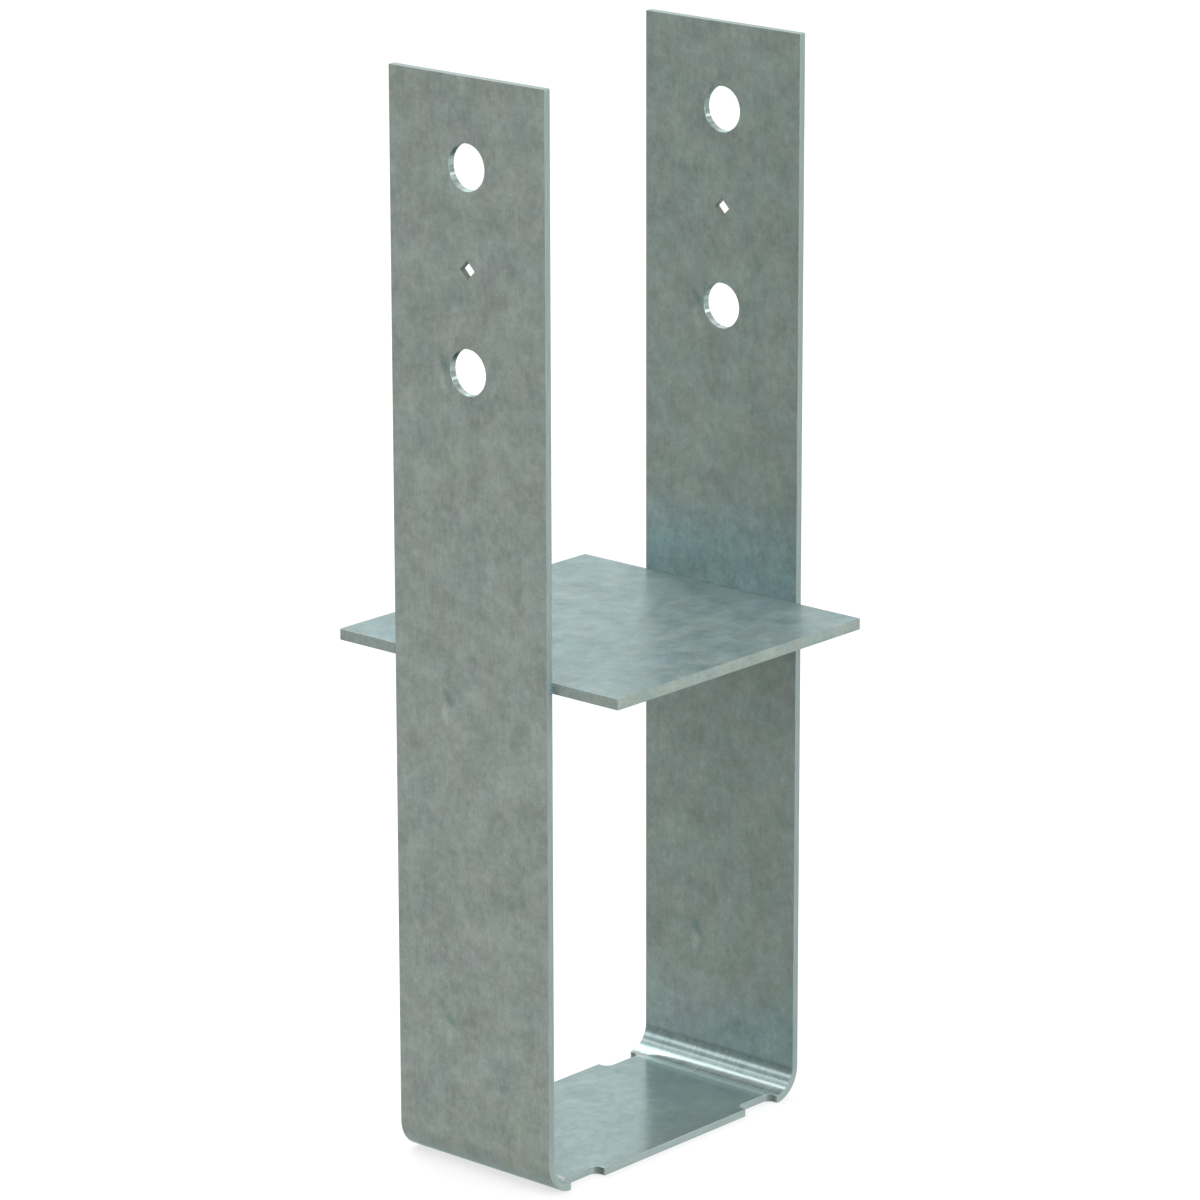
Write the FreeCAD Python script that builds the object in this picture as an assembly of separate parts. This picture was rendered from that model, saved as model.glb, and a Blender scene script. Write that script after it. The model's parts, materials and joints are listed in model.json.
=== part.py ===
"""Timber post base: a bent steel strap that stands in or on concrete and holds a square timber post.

One strip of galvanised steel is folded into a U. Its two legs clasp the post and take two through bolts,
and a flat bearing plate welded between the legs carries the post clear of the ground. Lengths are in
millimetres. X runs along the strip's width, Y from leg to leg across the post, and Z up. The origin is the
middle of the base's underside.
"""
import FreeCAD, Part
import os

from FreeCAD import Vector

os.makedirs("parts", exist_ok=True)

# ---- Driving dimensions ------------------------------------------------------------------------------------

# The folded strip.
strap_width = 76.2            # 3 in strip, along X
strap_gauge = 3.04            # 11 gauge
strap_height = 422.0          # underside of the base to the top of the legs
leg_gap = 139.7               # clear between the legs, for a 5 1/2 in post
bend_radius = 9.5             # inside of each bend

# The bolt holes of each leg, on the strip's centreline.
bolt_hole_diameter = 17.5     # 11/16 in, for a 5/8 in bolt
bolt_spacing = 76.2           # between the two holes of a leg
bolt_end_distance = 33.4      # upper hole to the top of the leg
pilot_square = 5.0            # across the flats of the small square hole half way between them

# The notches in the base's edges, where concrete or grout keys in.
notch_length = 19.05          # along Y
notch_depth = 4.8             # into the strip's edge
notch_corner_radius = 3.2     # the two inner corners of each notch
notch_past_bend = 0.15        # how far a notch runs beyond the line where the bend starts

# The bearing plate.
plate_span = 139.7            # along X, the post's other side
plate_gauge = 4.4             # 7 gauge
plate_standoff = 197.0        # underside of the base to the underside of the plate

# The weld beads and the sheared edges.
weld_leg = 3.5                # a bead's reach along the plate's edge
weld_hollow = 0.4             # how far a bead's face sinks below the straight line between its toes
edge_break = 0.3              # bevel that dulls every sheared or punched edge

# ---- Sizes worked out from them ----------------------------------------------------------------------------

half_width = strap_width / 2
inner_face = leg_gap / 2                          # |Y| of the legs' faces towards the post
outer_face = inner_face + strap_gauge
bend_outer_radius = bend_radius + strap_gauge
bend_line = inner_face - bend_radius              # |Y| where the flat of the base ends
notch_outer_end = bend_line + notch_past_bend
notch_inner_end = notch_outer_end - notch_length
upper_bolt_height = strap_height - bolt_end_distance
lower_bolt_height = upper_bolt_height - bolt_spacing
pilot_height = (upper_bolt_height + lower_bolt_height) / 2
strap_edge_break = min(edge_break, strap_gauge / 4)
plate_edge_break = min(edge_break, plate_gauge / 4)
weld_foot = strap_gauge - 2 * strap_edge_break    # a bead's reach along the strap's edge
overrun = strap_gauge                             # how far each cutter passes the faces that it cuts
smooth_angle = 0.2                                # radians; two faces that meet at less run smoothly together


# ---- The bent strap ----------------------------------------------------------------------------------------

def line(start, end):
    return Part.LineSegment(start, end).toShape()


def quarter_arc(start, end, centre):
    """A quarter circle from start to end about centre."""
    bulge = ((start - centre) + (end - centre)).normalize()
    return Part.Arc(start, centre + bulge * (start - centre).Length, end).toShape()


def strip_side(face, floor, radius):
    """One side of the folded strip seen along X: down a leg, round a bend, along the base and up again."""
    x = -half_width
    edges = [line(Vector(x, -bend_line, floor), Vector(x, bend_line, floor))]
    for side in (-1, 1):
        leg_end = Vector(x, side * face, floor + radius)
        base_end = Vector(x, side * bend_line, floor)
        edges.append(quarter_arc(leg_end, base_end, Vector(x, side * bend_line, floor + radius)))
        edges.append(line(Vector(x, side * face, strap_height), leg_end))
    return edges


def folded_strip():
    """The strip bent into a U, before anything is punched from it."""
    outline = strip_side(outer_face, 0.0, bend_outer_radius)
    outline += strip_side(inner_face, strap_gauge, bend_radius)
    for side in (-1, 1):
        outline.append(line(Vector(-half_width, side * outer_face, strap_height),
                            Vector(-half_width, side * inner_face, strap_height)))
    wire = Part.Wire(Part.__sortEdges__(outline))
    return Part.Face(wire).extrude(Vector(strap_width, 0, 0))


def bolt_punches():
    """Cutters for the bolt holes, each passing through both legs along Y."""
    start = outer_face + overrun
    return [
        Part.makeCylinder(bolt_hole_diameter / 2, 2 * start, Vector(0, -start, height), Vector(0, 1, 0))
        for height in (upper_bolt_height, lower_bolt_height)
    ]


def pilot_punch():
    """Cutter for the square holes, standing on a corner and passing through both legs along Y."""
    start = outer_face + overrun
    half = pilot_square / 2
    punch = Part.makeBox(pilot_square, 2 * start, pilot_square, Vector(-half, -start, pilot_height - half))
    punch.rotate(Vector(0, 0, pilot_height), Vector(0, 1, 0), 45)
    return punch


def notch_punch(side_x, side_y):
    """Cutter for one notch: a block let into the strip's edge, with its two inner corners rounded."""
    low_x, high_x = sorted((side_x * (half_width - notch_depth), side_x * (half_width + overrun)))
    low_y, high_y = sorted((side_y * notch_inner_end, side_y * notch_outer_end))
    height = bend_outer_radius + overrun
    block = Part.makeBox(high_x - low_x, high_y - low_y, height, Vector(low_x, low_y, -overrun))
    inner_corners = [edge for edge in block.Edges
                     if edge.BoundBox.ZLength > height / 2
                     and abs(edge.CenterOfMass.x) < half_width]
    return block.makeFillet(notch_corner_radius, inner_corners)


def sharp_edges(solid):
    """The edges where two faces meet at an angle, which leaves out the seams that run smoothly into a bend."""
    sharp = []
    for edge in solid.Edges:
        middle = edge.valueAt((edge.FirstParameter + edge.LastParameter) / 2)
        normals = [face.normalAt(*face.Surface.parameter(middle))
                   for face in solid.ancestorsOfType(edge, Part.Face)]
        if len(normals) == 2 and normals[0].getAngle(normals[1]) > smooth_angle:
            sharp.append(edge)
    return sharp


def bent_strap():
    """The folded strip with its holes and notches, and every sheared edge dulled."""
    cutters = bolt_punches() + [pilot_punch()]
    cutters += [notch_punch(side_x, side_y) for side_x in (-1, 1) for side_y in (-1, 1)]
    punched = folded_strip().cut(cutters)
    return punched.makeChamfer(strap_edge_break, sharp_edges(punched))


# ---- The bearing plate -------------------------------------------------------------------------------------

def bearing_plate():
    """A flat plate between the legs, wider than the strap and centred on it."""
    corner = Vector(-plate_span / 2, -inner_face, plate_standoff)
    plate = Part.makeBox(plate_span, leg_gap, plate_gauge, corner)
    return plate.makeChamfer(plate_edge_break, plate.Edges)


# ---- The weld beads ----------------------------------------------------------------------------------------

def corner_weld(side_x, side_y):
    """A fillet bead in the corner between the strap's sheared edge and the plate's edge.

    It stands as high as the plate is thick, and its face is a shallow hollow between two toes: one on the
    strap's edge, one on the plate's.
    """
    def at(along_x, along_y):
        x = side_x * (half_width + along_x)
        y = side_y * (inner_face + along_y)
        return Vector(x, y, plate_standoff)

    root = at(0, 0)
    strap_toe = at(0, weld_foot)
    plate_toe = at(weld_leg, 0)
    chord = plate_toe - strap_toe
    inward = root - (strap_toe + chord * 0.5)
    throat = strap_toe + chord * 0.5 + inward.normalize() * weld_hollow
    section = Part.Wire([
        line(root, strap_toe),
        Part.Arc(strap_toe, throat, plate_toe).toShape(),
        line(plate_toe, root),
    ])
    return Part.Face(section).extrude(Vector(0, 0, plate_gauge))


# ---- The sub-parts -----------------------------------------------------------------------------------------

sub_parts = {
    "bent_strap": bent_strap(),
    "bearing_plate": bearing_plate(),
}
for side_y, end_name in ((-1, "front"), (1, "rear")):
    for side_x, side_name in ((-1, "left"), (1, "right")):
        sub_parts[f"weld_{end_name}_{side_name}"] = corner_weld(side_x, side_y)

for name, shape in sub_parts.items():
    shape.exportStep(f"parts/{name}.step")
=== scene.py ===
"""Timber post base: a galvanised strap folded into a U, with a bearing plate welded between its legs.

The strap and the plate are sheet metal, so each is worked out flat, as its outline and its punched holes, and
is then given its thickness and laid in place. Lengths are in metres. X runs along the strap's width, Y from
the front leg to the rear one, and Z up from the underside of the foot.
"""

import json
import math

import bpy
import numpy as np
from mathutils import Matrix, Vector
from mathutils.geometry import delaunay_2d_cdt


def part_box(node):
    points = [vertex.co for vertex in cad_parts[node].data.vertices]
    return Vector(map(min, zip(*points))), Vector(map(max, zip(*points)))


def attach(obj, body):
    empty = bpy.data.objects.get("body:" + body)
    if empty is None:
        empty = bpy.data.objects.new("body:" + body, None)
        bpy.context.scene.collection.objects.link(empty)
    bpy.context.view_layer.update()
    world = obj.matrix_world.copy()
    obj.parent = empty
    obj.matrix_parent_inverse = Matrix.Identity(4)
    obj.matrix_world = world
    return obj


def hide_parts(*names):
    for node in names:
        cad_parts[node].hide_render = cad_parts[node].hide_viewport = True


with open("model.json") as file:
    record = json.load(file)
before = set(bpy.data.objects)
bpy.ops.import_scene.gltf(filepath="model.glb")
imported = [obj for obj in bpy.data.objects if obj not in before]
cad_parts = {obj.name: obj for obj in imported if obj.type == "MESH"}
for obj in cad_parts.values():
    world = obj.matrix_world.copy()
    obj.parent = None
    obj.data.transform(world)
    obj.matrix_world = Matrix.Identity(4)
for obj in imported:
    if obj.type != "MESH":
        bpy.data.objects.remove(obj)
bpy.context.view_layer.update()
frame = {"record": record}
scene = bpy.context.scene


# ---- The strap ---------------------------------------------------------------------------------------------
# One strip of zinc-coated sheet steel, sheared to width and punched flat: two bolt holes and a square pilot
# hole in each leg, and a notch by each end of the foot in both edges. Two bends then fold it up into a U, and
# the rollers leave the zinc faintly streaked along the strip.

strap_low, strap_high = map(np.array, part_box("bent_strap"))
plate_low, plate_high = map(np.array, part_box("bearing_plate"))
mounts = {mount["name"]: mount for mount in frame["record"]["mounts"]}

strap_gauge = (strap_high[1] - strap_low[1] - (plate_high[1] - plate_low[1])) / 2
half_width = strap_high[0]
bend_radius = 0.0095                                  # inside of each bend
bend_rows = 28
middle_radius = bend_radius + strap_gauge / 2         # of a bend, half way through the metal
bend_length = middle_radius * math.pi / 2
leg_start = strap_gauge / 2 + middle_radius           # height of the leg's lower end

# Places along the strip, from the middle of the foot.
foot_flat = plate_high[1] - bend_radius               # where a bend starts
bend_top = foot_flat + bend_length                    # where a leg starts


def up_leg(height):
    """The place along the strip of a height on a leg: bend_top + height - leg_start."""
    return bend_top + height - leg_start


half_length = up_leg(strap_high[2])

bolt_radius = mounts["upper_bolt"]["dims"]["r_mm"] / 1000
bolt_places = [up_leg(mounts[name]["pos_m"][2]) for name in ("upper_bolt", "lower_bolt")]
pilot_place = sum(bolt_places) / 2
pilot_square = 0.005                                  # across the flats
pilot_reach = pilot_square / math.sqrt(2)             # from its centre to a corner
notch_length, notch_depth = 0.01905, 0.0048
notch_past_bend = 0.00015
notch_end = foot_flat + notch_past_bend
notch_start = notch_end - notch_length
notch_floor = half_width - notch_depth
notch_corner = 0.0032                                 # radius of the notches' inner corners
mouth_corner = 0.0004                                 # of their outer ones
blank_corner = 0.0006                                 # of the strip's and the plate's own corners
pilot_corner = 0.0002                                 # of the square hole's
edge_round = 0.0003                                   # on every sheared and punched edge
row_slack = 0.35                                      # mm; the ends of a fold line lie this close to its row


def rounded_outline(corners, radii, steps=6):
    """A closed outline through the corners, each turned on an arc of its radius, with the metal on its left.

    An arc starts radius * tan(turn / 2) before its corner. Its points are centre + radius * outward where it
    goes round metal and centre - radius * outward where it goes round a gap. Gives the points and the outward
    directions, both (n, 2).
    """
    corners = np.array(corners, float)
    radii = np.broadcast_to(np.array(radii, float), len(corners))[:, None]
    ahead = np.roll(corners, -1, 0) - corners
    ahead /= np.linalg.norm(ahead, axis=1, keepdims=True)
    behind = np.roll(ahead, 1, 0)
    cross = behind[:, 0] * ahead[:, 1] - behind[:, 1] * ahead[:, 0]
    turn = np.arctan2(cross, (behind * ahead).sum(1))[:, None]
    way = np.sign(turn)
    outward = np.stack([behind[:, 1], -behind[:, 0]], 1)
    centre = corners - behind * radii * np.tan(abs(turn) / 2) - way * radii * outward
    angle = turn * np.linspace(0, 1, steps + 1)
    cos, sin = np.cos(angle), np.sin(angle)
    out_x, out_y = outward[:, :1], outward[:, 1:]
    facing = np.stack([out_x * cos - out_y * sin, out_x * sin + out_y * cos], 2)
    points = centre[:, None] + (way * radii)[:, None] * facing
    return points.reshape(-1, 2), facing.reshape(-1, 2)


def round_hole(centre, radius, steps=72):
    """A circle with the metal outside it: its points and the directions into the hole."""
    angle = -np.linspace(0, 2 * math.pi, steps, endpoint=False)[:, None]
    spoke = np.hstack([np.cos(angle), np.sin(angle)])
    return np.array(centre) + radius * spoke, -spoke


def with_rows(points, facing, rows):
    """The outline with a point added where it crosses one of the rows, which are places along the sheet."""
    ends, next_facing = np.roll(points, -1, 0), np.roll(facing, -1, 0)
    step = ends[:, 1] - points[:, 1]
    share = (rows[None] - points[:, 1:]) / np.where(abs(step) > 1e-9, step, 1e9)[:, None]
    edge, row = np.nonzero((share > 1e-4) & (share < 1 - 1e-4))
    place = np.concatenate([np.arange(len(points)), edge + share[edge, row]])
    order = np.argsort(place)
    start = np.floor(place[order]).astype(int) % len(points)
    share = (place[order] - np.floor(place[order]))[:, None]
    mixed = facing[start] * (1 - share) + next_facing[start] * share
    return (points[start] * (1 - share) + ends[start] * share,
            mixed / np.linalg.norm(mixed, axis=1, keepdims=True))


def inside(points, outlines):
    """True for each point with metal round it: a line from it crosses the outlines an odd number of times."""
    start = np.concatenate(outlines)
    end = np.concatenate([np.roll(outline, -1, 0) for outline in outlines])
    x, y = points[:, :1], points[:, 1:]
    spans = (start[:, 1] > y) != (end[:, 1] > y)
    rise = np.where(start[:, 1] == end[:, 1], 1, end[:, 1] - start[:, 1])
    crossing = start[:, 0] + (y - start[:, 1]) / rise * (end[:, 0] - start[:, 0])
    return (spans & (x < crossing)).sum(1) % 2 == 1


def face_triangles(border, starts, rows):
    """Counter-clockwise triangles that fill the space between outlines, with a fold line along each row.

    border holds the outlines' points in millimetres, one outline after another, and starts says where each
    begins.
    """
    spans = list(zip(starts, starts[1:]))
    ties = [(a + i, a + (i + 1) % (b - a)) for a, b in spans for i in range(b - a)]
    for row in rows:
        near = np.nonzero(abs(border[:, 1] - row * 1000) < row_slack)[0]
        ties.append((int(near[border[near, 0].argmin()]), int(near[border[near, 0].argmax()])))
    cut = delaunay_2d_cdt([Vector(point) for point in border], ties, [], 0, 1e-5, False)
    triangles = np.array(cut[2])
    triangles = triangles[inside(border[triangles].mean(1), [border[a:b] for a, b in spans])]
    a, b, c = border[triangles].transpose(1, 0, 2)
    flipped = (b - a)[:, 0] * (c - a)[:, 1] - (b - a)[:, 1] * (c - a)[:, 0] < 0
    triangles[flipped] = triangles[flipped][:, ::-1]
    return triangles


def edge_profile(gauge):
    """A sheet's edge from its upper face to its lower one: a quarter circle, the wall and a quarter circle.

    Gives how far each step of it reaches out, how high the step is, and the angle that it faces upwards at.
    """
    sweep = np.linspace(math.pi / 2, 0, 5)
    reach = edge_round * (np.cos(sweep) - 1)
    height = gauge / 2 - edge_round * (1 - np.sin(sweep))
    profile = [reach, reach[::-1]], [height, -height[::-1]], [sweep, -sweep[::-1]]
    return [np.concatenate(halves)[:, None, None] for halves in profile]


def store(mesh, name, values):
    """Keeps a number or a vector for each of the mesh's points, under a name that the material reads."""
    kind, field = ("FLOAT_VECTOR", "vector") if values.ndim == 2 else ("FLOAT", "value")
    mesh.attributes.new(name, kind, "POINT").data.foreach_set(field, values.ravel())


def new_object(name, data):
    """An object of the scene that holds a mesh, a lamp or a camera."""
    made = bpy.data.objects.new(name, data)
    scene.collection.objects.link(made)
    return made


def punched_sheet(name, outlines, gauge, lay, rows=()):
    """A mesh of sheet metal with rounded edges.

    Its edge profile is carried along every outline, so that a point is outline + outward * reach at the
    height of that step of the profile. The two faces fill the space between the outlines, with a fold line
    along each row. lay(x, s, h) puts the flat sheet in its place and gives the positions and the directions
    that x, s and h then have.
    """
    reach, height, lean = edge_profile(gauge)
    steps = len(reach)
    flat, normals, quads, rims, total = [], [], [], [], 0
    for points, facing in outlines:
        ring = (steps, len(points), 1)
        level, upwards = np.broadcast_to(height, ring), np.broadcast_to(np.sin(lean), ring)
        flat.append(np.concatenate([points + facing * reach, level], 2).reshape(-1, 3))
        normals.append(np.concatenate([facing * np.cos(lean), upwards], 2).reshape(-1, 3))
        index = total + np.arange(steps * len(points)).reshape(steps, -1)
        after = np.roll(index, -1, 1)
        quads.append(np.stack([index[:-1], index[1:], after[1:], after[:-1]], 2).reshape(-1, 4))
        rims.append((index[0], index[-1]))
        total += index.size
    flat, normals, quads = map(np.concatenate, (flat, normals, quads))
    upper, under = map(np.concatenate, zip(*rims))
    starts = np.cumsum([0] + [len(points) for points, facing in outlines])
    triangles = face_triangles(flat[upper, :2] * 1000, starts, rows)

    placed, along_x, along_s, along_h = lay(*flat.T)
    facing = normals[:, :1] * along_x + normals[:, 1:2] * along_s + normals[:, 2:] * along_h
    mesh = bpy.data.meshes.new(name)
    faces = quads.tolist() + upper[triangles].tolist() + under[triangles][:, ::-1].tolist()
    mesh.from_pydata(placed, [], faces)
    mesh.shade_smooth()
    mesh.normals_split_custom_set_from_vertices(facing)
    store(mesh, "sheet_place", flat)
    store(mesh, "sheared", np.linalg.norm(normals[:, :2], axis=1))
    return new_object(name, mesh)


def folded(x, s, h):
    """Lays the flat strip round the two bends, with s from the middle of the foot and h towards the post.

    The turn is (|s| - foot_flat) / middle_radius, held between 0 and a right angle. The metal half way
    through keeps its length, and h is measured square to it.
    """
    turn = np.sign(s) * np.clip((abs(s) - foot_flat) / middle_radius, 0, math.pi / 2)
    past = np.clip(abs(s) - foot_flat - bend_length, 0, None)
    cos, sin, none = np.cos(turn), np.sin(turn), np.zeros_like(turn)
    placed = np.stack([x, np.clip(s, -foot_flat, foot_flat) + (middle_radius - h) * sin,
                       strap_gauge / 2 + middle_radius * (1 - cos) + h * cos + past], 1)
    return placed, np.array([[1.0, 0, 0]]), np.stack([none, cos, sin], 1), np.stack([none, -sin, cos], 1)


quarter = [(half_width, notch_start), (notch_floor, notch_start), (notch_floor, notch_end),
           (half_width, notch_end), (half_width, half_length)]
quarter_radii = [mouth_corner, notch_corner, notch_corner, mouth_corner, blank_corner]
blank_corners = (quarter + [(-x, s) for x, s in quarter[::-1]] + [(-x, -s) for x, s in quarter]
                 + [(x, -s) for x, s in quarter[::-1]])
blank_radii = (quarter_radii + quarter_radii[::-1]) * 2
bends = foot_flat + bend_length * np.linspace(0, 1, bend_rows + 1)
bends = np.concatenate([-bends[::-1], bends])

strap_outlines = [with_rows(*rounded_outline(blank_corners, blank_radii), bends)]
for end in (-1, 1):
    strap_outlines += [round_hole((0, end * place), bolt_radius) for place in bolt_places]
    centre = end * pilot_place
    strap_outlines.append(rounded_outline([(pilot_reach, centre), (0, centre - pilot_reach),
                                           (-pilot_reach, centre), (0, centre + pilot_reach)], pilot_corner))

strap = punched_sheet("strap", strap_outlines, strap_gauge, folded, bends)


def feed(tree, node, inputs):
    """Gives a node its inputs. Each is a value to set or another node's output to link."""
    for socket, value in dict(inputs).items():
        if isinstance(value, bpy.types.NodeSocket):
            tree.links.new(value, node.inputs[socket])
        else:
            node.inputs[socket].default_value = value


def add(tree, kind, inputs=(), **settings):
    """Adds a node to a material or a group, with its settings and its inputs."""
    made = tree.nodes.new("ShaderNode" + kind)
    for setting, value in settings.items():
        setattr(made, setting, value)
    feed(tree, made, inputs)
    return made


def maths(tree, operation, *values):
    """The result of one sum on values."""
    return add(tree, "Math", dict(enumerate(values)), operation=operation).outputs[0]


def vectors(tree, operation, *values):
    """The result of one sum on colours or places, worked out for each of their three parts."""
    return add(tree, "VectorMath", dict(enumerate(values)), operation=operation).outputs[0]


def times(tree, *factors):
    """The product of two colours, or of a colour and a value."""
    return vectors(tree, "MULTIPLY", *factors)


def blended(tree, share, first, second):
    """A colour that goes from the first to the second as share goes from 0 to 1."""
    return add(tree, "Mix", {0: share, 6: first, 7: second}, data_type="RGBA").outputs[2]


def tinted(tree, colour, mask, tint):
    """The colour, multiplied by the tint where the mask is 1."""
    return times(tree, colour, blended(tree, mask, (1, 1, 1, 1), (*tint, 1)))


def ramp(tree, value, start, end, first=0.0, last=1.0):
    """A value that goes from first to last as the given one goes from start to end, and stays so beyond."""
    return add(tree, "MapRange", {0: value, 1: start, 2: end, 3: first, 4: last}).outputs[0]


def overlap(tree, *masks):
    """A mask of where all the masks lie: their product."""
    shared = masks[0]
    for mask in masks[1:]:
        shared = maths(tree, "MULTIPLY", shared, mask)
    return shared


def band(tree, value, rise, fall):
    """A mask that goes from 0 to 1 between the two values in rise, and back to 0 between the two in fall."""
    return overlap(tree, ramp(tree, value, *rise), ramp(tree, value, *fall[::-1]))


def away_from(tree, value, middle):
    """How far the value is from middle, either way."""
    return maths(tree, "ABSOLUTE", maths(tree, "SUBTRACT", value, middle))


def stored(tree, name):
    """What the mesh keeps for its points under a name."""
    return add(tree, "Attribute", attribute_name=name).outputs


def stretched_noise(tree, place, scale, detail, roughness=0.55):
    """Noise with a cell 1 / scale metres long each way, as a value and as a colour: 0.5, give or take 0.1."""
    moved = add(tree, "Mapping", {"Vector": place, "Scale": scale}).outputs[0]
    grain = {"Vector": moved, "Scale": 1.0, "Detail": detail, "Roughness": roughness}
    return add(tree, "TexNoise", grain).outputs


def skin_group():
    """Zinc as it sets: mottled alike at every size from half a millimetre to 15 mm, and streaked along Y.

    Place is in metres. The mottling is noise whose octaves are all about equally strong, and Octaves is how
    often its size halves. Shade and Streak are how strongly the mottling and the streaks darken or lighten
    Tint. Softer patches shift its red, green and blue: by Hue each on its own, and by Lean all together.
    Sheen follows the mottling, Lines are the streaks alone and Relief is a height.
    """
    tree = bpy.data.node_groups.new("zinc_skin", "ShaderNodeTree")
    for name, kind in (("Place", "Vector"), ("Tint", "Color"), ("Shade", "Float"), ("Streak", "Float"),
                       ("Hue", "Vector"), ("Lean", "Vector"), ("Octaves", "Float")):
        tree.interface.new_socket(name, in_out="INPUT", socket_type="NodeSocket" + kind)
    for name, kind in (("Color", "Color"), ("Sheen", "Float"), ("Lines", "Float"), ("Relief", "Float")):
        tree.interface.new_socket(name, in_out="OUTPUT", socket_type="NodeSocket" + kind)
    given = tree.nodes.new("NodeGroupInput").outputs
    mottling = stretched_noise(tree, given["Place"], (75, 66, 75), given["Octaves"], 0.95)[0]
    streaks = stretched_noise(tree, given["Place"], (1300, 90, 1300), 3)[0]
    patches = stretched_noise(tree, given["Place"], (62, 48, 62), 4, 0.7)[1]
    tone = maths(tree, "MULTIPLY_ADD", maths(tree, "SUBTRACT", mottling, 0.5), given["Shade"], 1.0)
    tone = maths(tree, "MULTIPLY_ADD", maths(tree, "SUBTRACT", streaks, 0.5), given["Streak"], tone)
    shift = vectors(tree, "SUBTRACT", patches, (0.5, 0.5, 0.5))
    lean = times(tree, given["Lean"], add(tree, "SeparateXYZ", {0: shift}).outputs["X"])
    shift = vectors(tree, "MULTIPLY_ADD", shift, given["Hue"], tone)
    shift = vectors(tree, "ADD", shift, lean)
    feed(tree, tree.nodes.new("NodeGroupOutput"), {
        "Color": times(tree, given["Tint"], shift), "Sheen": mottling, "Lines": streaks,
        "Relief": maths(tree, "ADD", mottling, streaks)})
    return tree


zinc_skin = skin_group()
zinc_reflection = (0.50, 0.66, 0.68, 1)               # zinc mirrors white as a cool grey


def zinc_material(name):
    """A new material for a zinc-coated piece: the material, its nodes and its surface."""
    material = bpy.data.materials.new(name)
    material.use_nodes = True
    surface = material.node_tree.nodes["Principled BSDF"]
    surface.inputs["Specular Tint"].default_value = zinc_reflection
    return material, material.node_tree, surface


def dulled(tree, skin, smooth, rough):
    """A roughness that follows the mottling, from smooth to rough."""
    return ramp(tree, skin["Sheen"], 0.3, 0.7, smooth, rough)


def raised(tree, height, strength, distance):
    """The direction that a surface faces when its fine relief stands this high."""
    return add(tree, "Bump", {"Strength": strength, "Distance": distance, "Height": height}).outputs[0]


strap_zinc, tree, surface = zinc_material("galvanised_strap")
strap_grey = (0.233, 0.269, 0.243, 1)
sheet_place = stored(tree, "sheet_place")["Vector"]
place = add(tree, "Mapping", {"Vector": sheet_place, "Scale": (1, 1, 40)}).outputs[0]
skin = add(tree, "Group", {"Place": place, "Tint": strap_grey, "Shade": 1.6, "Streak": 0.3,
                           "Hue": (0.21, 0.20, 0.21), "Octaves": 5.5}, node_tree=zinc_skin).outputs
along = add(tree, "SeparateXYZ", {0: sheet_place}).outputs
from_middle = maths(tree, "ABSOLUTE", along["Y"])
from_edge = maths(tree, "ABSOLUTE", along["X"])
post_side = ramp(tree, along["Z"], -0.001, 0.001)
foot = ramp(tree, from_middle, foot_flat + 0.015, foot_flat)
bend = overlap(tree, post_side, band(tree, from_middle, (foot_flat - 0.001, foot_flat + 0.002),
                                     (bend_top - 0.004, bend_top - 0.0005)))

# Painted shade makes the strap darker towards the top of the legs, on the side towards the post and under the
# plate. The outside of each bend is warmer. The inside corners, on the post side just above the foot and the
# plate, are a cooler grey: a painted reflection of the plate and the foot.
colour = times(tree, skin["Color"], ramp(tree, from_middle, foot_flat, half_length, 1.03, 0.90))
colour = tinted(tree, colour, post_side, (0.87, 0.91, 0.905))
curl = overlap(tree, ramp(tree, from_middle, bend_top + 0.004, foot_flat + bend_length * 0.3),
               maths(tree, "SUBTRACT", 1.0, post_side))
colour = tinted(tree, colour, curl, (0.97, 0.94, 0.88))
# Painted reflection: the plate and the foot mirrored bluish on the post side of the legs just above them.
plate_top = up_leg(plate_high[2])
above_foot = ramp(tree, from_middle, bend_top + 0.030, bend_top + 0.002, 0.0, 0.62)
above_plate = band(tree, from_middle, (plate_top - 0.001, plate_top), (plate_top + 0.014, plate_top + 0.038))
corner = overlap(tree, post_side, maths(tree, "ADD", above_foot, above_plate))
colour = tinted(tree, colour, corner, (1.04, 1.19, 1.34))
# Painted shade under the plate, on the post side of the legs.
plate_foot = up_leg(plate_low[2])
below_plate = band(tree, from_middle, (plate_foot - 0.035, plate_foot - 0.005),
                   (plate_foot, plate_foot + 0.001))
colour = tinted(tree, colour, overlap(tree, below_plate, post_side), (0.88, 0.89, 0.81))

# The foot is paler and more even: painted light for its bright reflection. Each bend's inside is burnished by
# the punch that folded it and finely scratched, with a painted highlight where it leaves the foot, and it is
# darker along two lines of painted shade that stand for dark reflections.
# Painted light: the foot's colour raised well above the skin's.
plain = blended(tree, 0.5, skin["Color"], strap_grey)
colour = blended(tree, foot, colour, times(tree, plain, (1.62, 1.67, 1.82)))
scratched = ramp(tree, skin["Lines"], 0.35, 0.65, 0.88, 1.12)
burnished = times(tree, blended(tree, 0.4, skin["Color"], strap_grey), (0.96, 1.06, 1.17))
colour = blended(tree, bend, colour, times(tree, burnished, scratched))
# Painted shade: a dark line just below each leg and one across the middle of the bend, for dark reflections.
top_line = band(tree, from_middle, (bend_top - 0.0048, bend_top - 0.0030),
                (bend_top - 0.0010, bend_top + 0.0005))
middle_line = ramp(tree, away_from(tree, from_middle, foot_flat + 0.0086), 0.0009, 0.0003)
painted_shade_lines = overlap(tree, maths(tree, "MAXIMUM", top_line, middle_line), post_side)
colour = tinted(tree, colour, painted_shade_lines, (0.66, 0.67, 0.66))
# Painted highlight: a pale band where each bend leaves the foot.
painted_bend_highlight = band(tree, from_middle, (foot_flat - 0.003, foot_flat - 0.0015),
                 (foot_flat + 0.0054, foot_flat + 0.0064))
colour = tinted(tree, colour, overlap(tree, painted_bend_highlight, post_side), (1.50, 1.34, 1.30))

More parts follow.
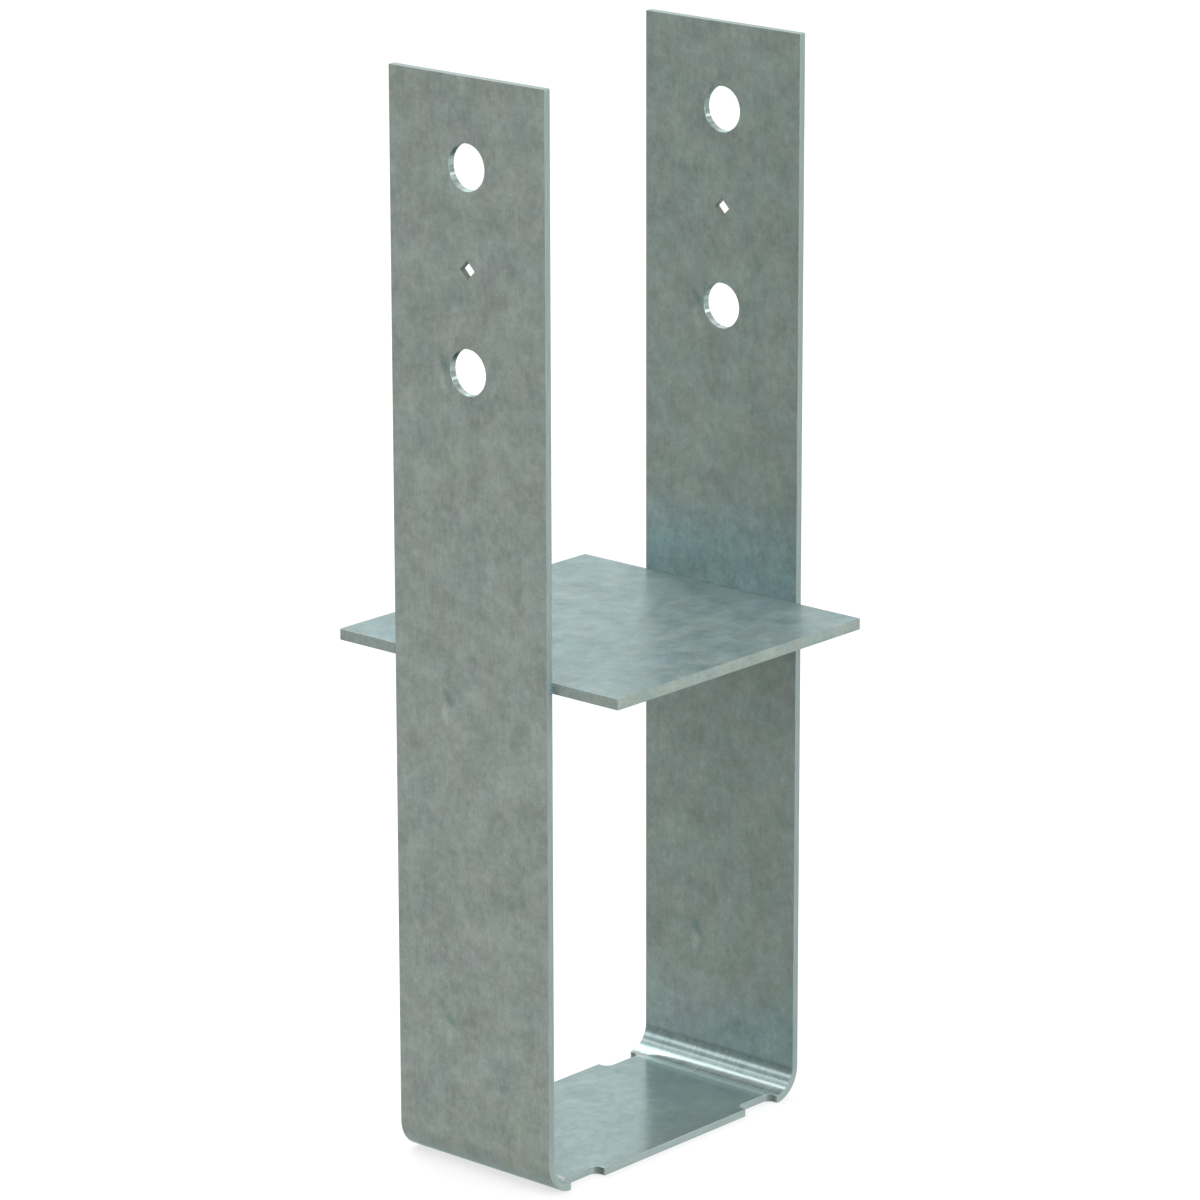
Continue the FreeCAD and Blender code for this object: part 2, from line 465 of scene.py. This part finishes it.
# The rollers marked the legs at every turn with a small dark smear, and a pale one below it.
roller_turn = 0.127
turned = maths(tree, "SUBTRACT", from_middle, bend_top + 0.0470)
turned = maths(tree, "WRAP", turned, roller_turn / 2, -roller_turn / 2)
mark = add(tree, "CombineXYZ", {0: maths(tree, "ADD", along["X"], 0.0115), 1: turned}).outputs[0]
ragged = stretched_noise(tree, sheet_place, (700, 350, 700), 3)[1]
mark = vectors(tree, "ADD", mark, times(tree, ragged, (0.004, 0.004, 0.004)))
on_leg = ramp(tree, from_middle, bend_top, bend_top + 0.01)


def smear(x, y, width, length, turn):
    """A mask that fades out from the middle of an ellipse, at x, y from the mark's own place."""
    moved = add(tree, "Mapping", {"Vector": mark, "Location": (x, y, 0), "Rotation": (0, 0, turn),
                                  "Scale": (width, length, 1)}, vector_type="TEXTURE").outputs[0]
    size = add(tree, "VectorMath", {0: moved}, operation="LENGTH").outputs["Value"]
    return overlap(tree, ramp(tree, size, 1.0, 0.2), on_leg)


colour = tinted(tree, colour, smear(0.002, 0.002, 0.0025, 0.0046, 0.65), (0.63, 0.78, 0.79))
colour = tinted(tree, colour, smear(0.001, -0.005, 0.0022, 0.0055, 0.1), (1.22, 1.29, 1.29))

# The sheared edges are paler, apart from the pilot holes' walls and the notches' ends, which are darker with
# painted shade. Near the foot and at the legs' top ends they are paler still, with painted light.
facing = add(tree, "SeparateXYZ", {0: add(tree, "TexCoord").outputs["Normal"]}).outputs
lean = facing["Z"]
sheared = stored(tree, "sheared")["Fac"]
from_pilot = away_from(tree, from_middle, pilot_place)
punched = overlap(tree, sheared, ramp(tree, from_edge, 0.014, 0.012), ramp(tree, from_pilot, 0.005, 0.006),
                  ramp(tree, from_middle, half_length - 0.005, half_length - 0.008))
# Painted shade: the notches' end walls, facing along the strip, darker.
painted_notch_shade = overlap(tree, ramp(tree, from_edge, half_width - 0.0006, half_width - 0.0012),
                  ramp(tree, from_middle, notch_end + 0.001, notch_end + 0.0005),
                  ramp(tree, maths(tree, "ABSOLUTE", facing["Y"]), 0.35, 0.8))
pilot = overlap(tree, ramp(tree, from_pilot, 0.006, 0.005), ramp(tree, from_edge, 0.006, 0.005))
pale = blended(tree, painted_notch_shade, (0.93, 0.99, 1.05, 1), (0.55, 0.60, 0.58, 1))
pale = blended(tree, pilot, pale, (0.86, 0.86, 0.82, 1))
# Painted light: the sheared edges paler still near the foot and at the legs' top ends.
pale = times(tree, pale, ramp(tree, from_middle, bend_top + 0.01, foot_flat, 1.0, 1.28))
pale = times(tree, pale, ramp(tree, from_middle, half_length - 0.0008, half_length - 0.0004, 1.0, 1.2))
colour = blended(tree, sheared, colour, times(tree, skin["Color"], pale))

# The bolt holes' punched walls are banded across the metal. Painted shade makes them dull at the top of a
# hole, where they face down, and painted light makes them bright lower down, where they face up, with a
# painted highlight along a narrow stripe.
# Painted highlight: a narrow bright stripe where the wall faces a little upwards.
painted_highlight_stripe = ramp(tree, away_from(tree, lean, 0.40), 0.08, 0.03, 0.0, 1.3)
painted_highlight_stripe = maths(tree, "ADD", painted_highlight_stripe, ramp(tree, lean, 0.7, 0.9, 0.0, 0.4))
drawn_bands_and_painted_light = maths(tree, "ADD", ramp(tree, lean, -0.65, -0.2, 0.42, 0.95), painted_highlight_stripe)
drawn_bands_and_painted_light = maths(tree, "MULTIPLY", drawn_bands_and_painted_light,
              ramp(tree, stretched_noise(tree, sheet_place, (420, 420, 20), 2)[0], 0.38, 0.62, 0.8, 1.25))
# Painted light: walls that face upwards are brighter.
wall = blended(tree, ramp(tree, lean, 0.30, 0.45), (1.2, 1.32, 1.36, 1), (1.46, 1.50, 1.60, 1))
colour = blended(tree, punched, colour, times(tree, times(tree, skin["Color"], wall), drawn_bands_and_painted_light))

# The foot, the burnished bends and the punched walls are brighter and smoother than the skin as it set. The
# sheared edges are rougher.
bright = maths(tree, "MAXIMUM", maths(tree, "MULTIPLY", bend, 0.27), maths(tree, "MULTIPLY", foot, 0.40))
bright = maths(tree, "MULTIPLY", bright, maths(tree, "SUBTRACT", 1.0, sheared))
bright = maths(tree, "MAXIMUM", bright, maths(tree, "MULTIPLY", punched, 0.40))
sheen = dulled(tree, skin, 0.28, 0.40)
sheen = maths(tree, "MULTIPLY_ADD", bright, -0.36, sheen)
sheen = maths(tree, "MULTIPLY_ADD", bend, -0.07, maths(tree, "MULTIPLY_ADD", sheared, 0.12, sheen))
relief = maths(tree, "ADD", skin["Relief"], maths(tree, "MULTIPLY", skin["Lines"], bend))
feed(tree, surface, {"Base Color": colour, "Metallic": maths(tree, "ADD", bright, 0.35), "Roughness": sheen,
                     "Normal": raised(tree, relief, 0.25, 0.00003)})
strap.data.materials.append(strap_zinc)

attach(strap, "root")
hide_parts("bent_strap")


# ---- The bearing plate -------------------------------------------------------------------------------------
# A square of thicker zinc-coated plate, sheared on its four sides, that carries the post clear of the ground.
# It lies between the legs and reaches past the strap on both sides. Its zinc set without streaks, in faint
# warm and cool patches.

plate_gauge = plate_high[2] - plate_low[2]
plate_middle = (plate_high[2] + plate_low[2]) / 2


def level(x, s, h):
    """Lays the flat plate level, with s along Y and h upwards."""
    return np.stack([x, s, plate_middle + h], 1), *np.eye(3)[:, None]


plate_corners = [(plate_high[0], plate_low[1]), (plate_high[0], plate_high[1]),
                 (plate_low[0], plate_high[1]), (plate_low[0], plate_low[1])]
plate = punched_sheet("plate", [rounded_outline(plate_corners, blank_corner)], plate_gauge, level)

plate_zinc, tree, surface = zinc_material("galvanised_plate")
plate_grey = (0.246, 0.312, 0.309, 1)
place = add(tree, "TexCoord").outputs["Object"]
place = add(tree, "Mapping", {"Vector": place, "Scale": (1.2, 1.2, 1.2)}).outputs[0]
skin = add(tree, "Group", {"Place": place, "Tint": plate_grey, "Shade": 1.45, "Hue": (0.07, 0.10, 0.07),
                           "Lean": (0.28, 0.0, -0.32), "Octaves": 4.8}, node_tree=zinc_skin).outputs
sheared = stored(tree, "sheared")["Fac"]
colour = blended(tree, maths(tree, "MULTIPLY", sheared, 0.25), skin["Color"], plate_grey)
sheen = dulled(tree, skin, 0.285, 0.40)
feed(tree, surface, {"Base Color": tinted(tree, colour, sheared, (0.96, 0.91, 0.84)), "Metallic": 0.45,
                     "Roughness": maths(tree, "MULTIPLY_ADD", sheared, 0.18, sheen),
                     "Normal": raised(tree, skin["Relief"], 0.12, 0.00004)})
plate.data.materials.append(plate_zinc)

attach(plate, "root")
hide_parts("bearing_plate")


# ---- The weld beads ----------------------------------------------------------------------------------------
# A short fillet bead fills each corner between the strap's sheared edge and the plate's edge. It is laid
# upwards in overlapping ripples, as high as the plate is thick, and its zinc is darker than the sheet's.

weld_reach, weld_foot = 0.0034, 0.0024                # along the plate's edge, and on the strap's
weld_hollow = 0.0004                                  # of its face, below the straight line between its toes
ripple_pitch, ripple_height, ripple_sag = 0.0008, 0.00011, 0.0002
columns_across, rows_up = 17, 61


def weld_bead(name, side_x, side_y):
    """A bead's surface over u round its section and v up its height.

    The section runs from the toe on the strap to the toe on the plate along a line hollowed by
    weld_hollow * sin(pi u), and back through the root. The hollow face stands out by the ripples, whose lines
    sag a little in the middle, and at both ends the section draws in to the root.
    """
    u = np.linspace(0, 1, columns_across)[None]
    v = np.linspace(0, 1, rows_up)[:, None]
    rise = (v - 0.5) * (plate_gauge - 2 * edge_round)
    wave = np.sin(2 * math.pi * (rise - ripple_sag * np.sin(math.pi * u)) / ripple_pitch)
    depth = (weld_hollow - ripple_height * wave - ripple_height) * np.sin(math.pi * u)
    end = np.sqrt(np.clip(1 - (2 * abs(v - 0.5)) ** 8, 0, 1)) * 0.999 + 0.001
    run = math.hypot(weld_reach, weld_foot)
    across = (weld_reach * u - depth * weld_foot / run) * end
    along = (weld_foot * (1 - u) - depth * weld_reach / run) * end
    front = np.stack([across, along, rise + 0 * u], 2)
    root = np.stack([0 * v, 0 * v, rise], 2)
    ring = np.concatenate([front, root], 1) * [side_x, side_y, 1]
    ring += [side_x * half_width, side_y * plate_high[1], plate_middle]
    rows, columns = ring.shape[:2]
    index = np.arange(rows * columns).reshape(rows, columns)
    after = np.roll(index, -1, 1)
    quads = np.stack([index[:-1], after[:-1], after[1:], index[1:]], 2).reshape(-1, 4)
    caps = [index[0, ::-1].tolist(), index[-1].tolist()]
    if side_x * side_y > 0:
        quads, caps = quads[:, ::-1], [cap[::-1] for cap in caps]
    mesh = bpy.data.meshes.new(name)
    mesh.from_pydata(ring.reshape(-1, 3), [], quads.tolist() + caps)
    mesh.shade_smooth()
    mesh.set_sharp_from_angle(angle=math.radians(50))
    store(mesh, "ripple", np.concatenate([wave, 0 * v], 1).ravel())
    store(mesh, "reach", np.concatenate([u + 0 * v, 0.5 + 0 * v], 1).ravel())
    return new_object(name, mesh)


# A bead is pale at its toe on the strap, darkest over its middle, and a plain grey at its toe on the plate.
weld_zinc, tree, surface = zinc_material("weld_metal")
place = add(tree, "TexCoord").outputs["Object"]
skin = add(tree, "Group", {"Place": place, "Tint": (1, 1, 1, 1), "Shade": 1.2, "Hue": (0.2, 0.2, 0.2),
                           "Octaves": 5.5}, node_tree=zinc_skin).outputs
ragged = maths(tree, "SUBTRACT", stretched_noise(tree, place, (150, 150, 1400), 2)[0], 0.5)
reach = maths(tree, "MULTIPLY_ADD", ragged, 1.2, stored(tree, "reach")["Fac"])
colour = blended(tree, ramp(tree, reach, 0.3, 0.42), (0.200, 0.262, 0.265, 1), (0.120, 0.178, 0.172, 1))
colour = blended(tree, ramp(tree, reach, 0.65, 1.0), colour, (0.200, 0.235, 0.215, 1))
# Painted shade: the valleys between the ripples are darker.
painted_ripple_shade = ramp(tree, stored(tree, "ripple")["Fac"], -1.0, 1.0, 0.8, 1.1)
feed(tree, surface, {"Base Color": times(tree, times(tree, skin["Color"], colour), painted_ripple_shade), "Metallic": 0.35,
                     "Roughness": dulled(tree, skin, 0.3, 0.45),
                     "Normal": raised(tree, skin["Relief"], 0.4, 0.00005)})

for side_y, end_name in ((-1, "front"), (1, "rear")):
    for side_x, side_name in ((-1, "left"), (1, "right")):
        bead = weld_bead(f"bead_{end_name}_{side_name}", side_x, side_y)
        bead.data.materials.append(weld_zinc)
        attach(bead, "root")
        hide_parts(f"weld_{end_name}_{side_name}")


# ---- The floor and the light -------------------------------------------------------------------------------
# A pale floor under a white surround, lit by soft boxes overhead and one from the right. The camera and
# polished metal see the floor and the surround white. The floor keeps the object's soft shadow, and isn't
# there from below.

floor_radius, floor_sides, floor_height = 6, 96, -0.0002
floor_mesh = bpy.data.meshes.new("floor")
around = np.linspace(0, 2 * math.pi, floor_sides, endpoint=False)
disc = np.stack([floor_radius * np.cos(around), floor_radius * np.sin(around), 0 * around + floor_height], 1)
floor_mesh.from_pydata(disc, [], [list(range(floor_sides))])
floor = new_object("floor", floor_mesh)


def seen(tree):
    """1 for what the camera, polished metal and glass see, and 0 for the light that falls on the object."""
    ray = add(tree, "LightPath").outputs
    direct = maths(tree, "MAXIMUM", ray["Is Camera Ray"], ray["Is Glossy Ray"])
    return maths(tree, "MAXIMUM", direct, ray["Is Transmission Ray"])


floor_white = bpy.data.materials.new("floor")
floor_white.use_nodes = True
tree = floor_white.node_tree
tree.nodes.clear()
matt = add(tree, "BsdfDiffuse", {"Color": (0.3, 0.3, 0.3, 1)}).outputs[0]
glow = ramp(tree, seen(tree), 0, 1, 0, 0.66)
glow = add(tree, "Emission", {"Color": (1, 1, 1, 1), "Strength": glow}).outputs[0]
lit = add(tree, "AddShader", {0: matt, 1: glow}).outputs[0]
below = add(tree, "NewGeometry").outputs["Backfacing"]
gone = add(tree, "BsdfTransparent").outputs[0]
add(tree, "OutputMaterial", {"Surface": add(tree, "MixShader", {0: below, 1: lit, 2: gone}).outputs[0]})
floor_mesh.materials.append(floor_white)

scene.world = bpy.data.worlds.new("surround")
scene.world.use_nodes = True
tree = scene.world.node_tree
tree.nodes.clear()
strength = ramp(tree, seen(tree), 0, 1, 1.1, 1.0)
white = add(tree, "Background", {"Color": (1, 1, 1, 1), "Strength": strength}).outputs[0]
add(tree, "OutputWorld", {"Surface": white})


def soft_box(name, place, target, width, height, radiance):
    """A rectangular lamp of even radiance at a place, facing a target. Its power is pi * area * radiance."""
    lamp = bpy.data.lights.new(name, "AREA")
    lamp.shape, lamp.size, lamp.size_y = "RECTANGLE", width, height
    lamp.energy = math.pi * width * height * radiance
    aim = (Vector(target) - Vector(place)).to_track_quat("-Z", "Y")
    new_object(name, lamp).matrix_world = Matrix.Translation(place) @ aim.to_matrix().to_4x4()


soft_box("overhead_rear", (-1.45, 0.20, 1.7), (-1.45, 0.20, 0), 1.4, 0.93, 3.7)
soft_box("rear_left", (-1.50, 0.98, 1.60), (0, 0, 0.1), 1.3, 0.66, 2.4)
soft_box("overhead_front", (-1.60, -0.86, 1.7), (-1.60, -0.86, 0), 1.4, 0.67, 2.6)
soft_box("front_left", (-1.60, -1.75, 0.85), (0, 0, 0.05), 1.2, 0.55, 2.0)
soft_box("side", (2.2, 0.0, 0.8), (0, 0, 0.2), 1.4, 1.4, 6.2)

scene.view_settings.view_transform = "Standard"


# ---- The camera --------------------------------------------------------------------------------------------
# It stands in front and to the right, a little above the object, with a long lens. It looks along -back, and
# is rolled a little to one side.

camera_place = (1.419014, -1.608691, 0.825524)
azimuth, elevation, roll = map(math.radians, (41.4223, 15.9961, -0.1202))
back = Vector((math.sin(azimuth) * math.cos(elevation), -math.cos(azimuth) * math.cos(elevation),
               math.sin(elevation)))
level_right = Vector((math.cos(azimuth), math.sin(azimuth), 0))
level_up = back.cross(level_right)
right = level_right * math.cos(roll) + level_up * math.sin(roll)
up = level_up * math.cos(roll) - level_right * math.sin(roll)
lens = bpy.data.cameras.new("camera")
lens.lens, lens.sensor_width, lens.clip_end = 177.175, 36.0, 50.0
camera = new_object("camera", lens)
camera.matrix_world = Matrix.Translation(camera_place) @ Matrix((right, up, back)).transposed().to_4x4()
scene.camera = camera
